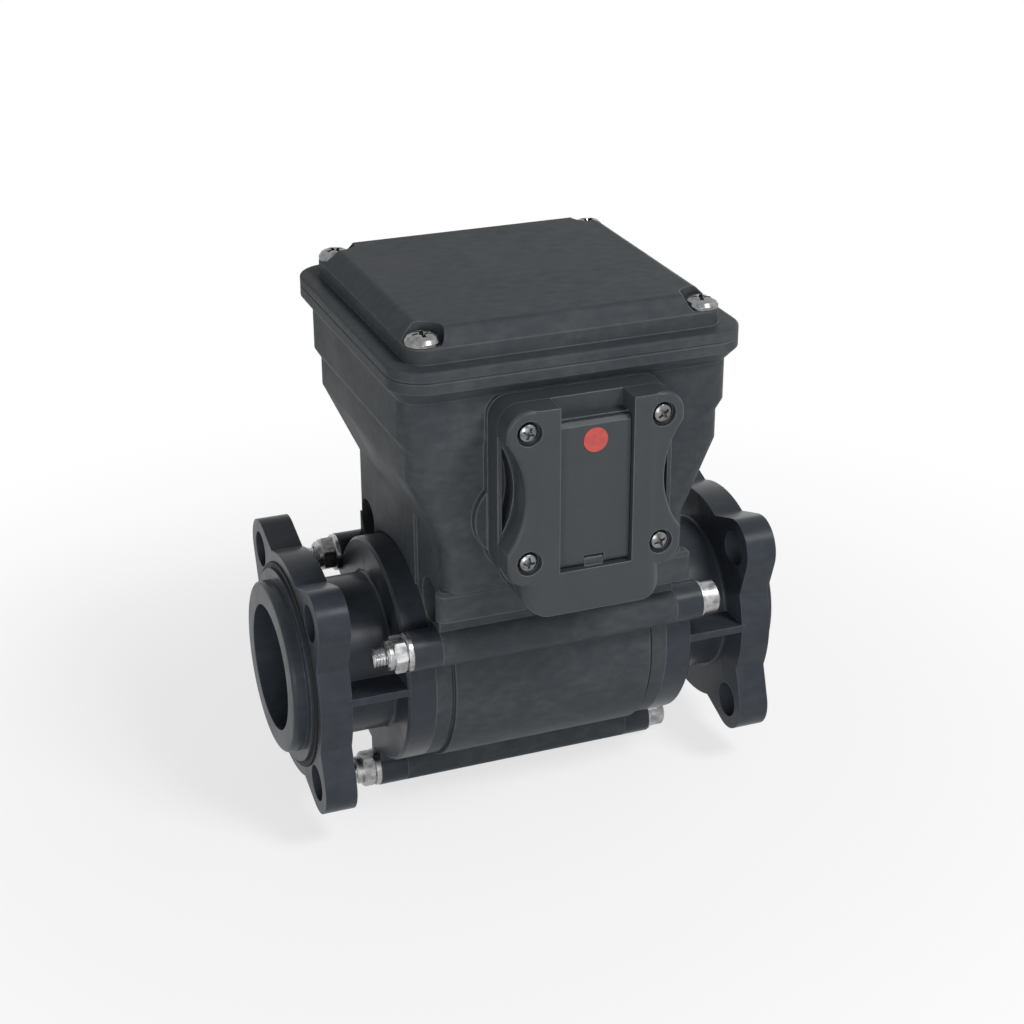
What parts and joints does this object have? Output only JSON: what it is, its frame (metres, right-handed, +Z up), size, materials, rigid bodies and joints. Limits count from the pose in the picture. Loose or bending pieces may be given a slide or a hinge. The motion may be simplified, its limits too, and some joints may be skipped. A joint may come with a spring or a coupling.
{
  "type": "flow meter",
  "caption": "In-line flow meter with a dark moulded body, a square electronics head, four-lobed flanges clamped by tie bolts, and a front pod with a hinged service flap",
  "frame": {"origin": "On the pipe axis, half way between the two mouth faces", "axes": "X runs along the pipe axis, Z points up through the head, the pod is on the -Y side"},
  "size_m": [0.162, 0.1263, 0.1707],
  "materials": {
    "housing_plastic": "moulded",
    "fitting_plastic": "moulded",
    "pod_plastic": "moulded",
    "seal_rubber": "moulded",
    "zinc_steel": "zinc plated",
    "stainless": "polished",
    "red_lens": "gloss",
    "board_green": "gloss",
    "copper_coil": "enamelled",
    "soft_iron": "bare",
    "black_component": "gloss",
    "nylon_ring": "moulded",
    "terminal_green": "moulded",
    "lead_wire": "moulded"
  },
  "bodies": {
    "root": {"flow_body": "housing_plastic", "lid": "housing_plastic", "left_fitting": "fitting_plastic", "right_fitting": "fitting_plastic", "pod_base": "pod_plastic", "pod_cover": "pod_plastic", "coil_chamber_cover": "housing_plastic", "lid_seal": "seal_rubber", "pod_seal": "seal_rubber", "left_spigot_seal": "seal_rubber", "right_spigot_seal": "seal_rubber", "left_face_seal": "seal_rubber", "right_face_seal": "seal_rubber", "electrode_seals": "seal_rubber", "connector_seal": "seal_rubber", "lid_screws": "stainless", "pod_screws": "stainless", "board_screws": "zinc_steel", "tie_bolts": "zinc_steel", "tie_nuts": "zinc_steel", "tie_washers": "zinc_steel", "nut_locking_rings": "nylon_ring", "flap_pin": "stainless", "service_board": "board_green", "service_socket": "black_component", "status_lamp": "red_lens", "upper_coil": "copper_coil", "lower_coil": "copper_coil", "upper_pole": "soft_iron", "lower_pole": "soft_iron", "yoke_ring": "soft_iron", "front_electrode": "stainless", "rear_electrode": "stainless", "electrode_nuts": "stainless", "signal_leads": "lead_wire", "coil_leads": "lead_wire", "coil_link": "lead_wire", "main_board": "board_green", "processor_chip": "black_component", "terminal_block": "terminal_green", "capacitors": "black_component", "rear_connector": "fitting_plastic", "connector_nut": "fitting_plastic"},
    "flap": {"service_flap": "pod_plastic", "status_lens": "red_lens"}
  },
  "joints": [
    {"name": "flap_hinge", "type": "hinge", "parent": "root", "child": "flap", "pos_m": [0, -0.064, 0.0523], "axis": [1, 0, 0], "range_deg": [0, 80]}
  ]
}
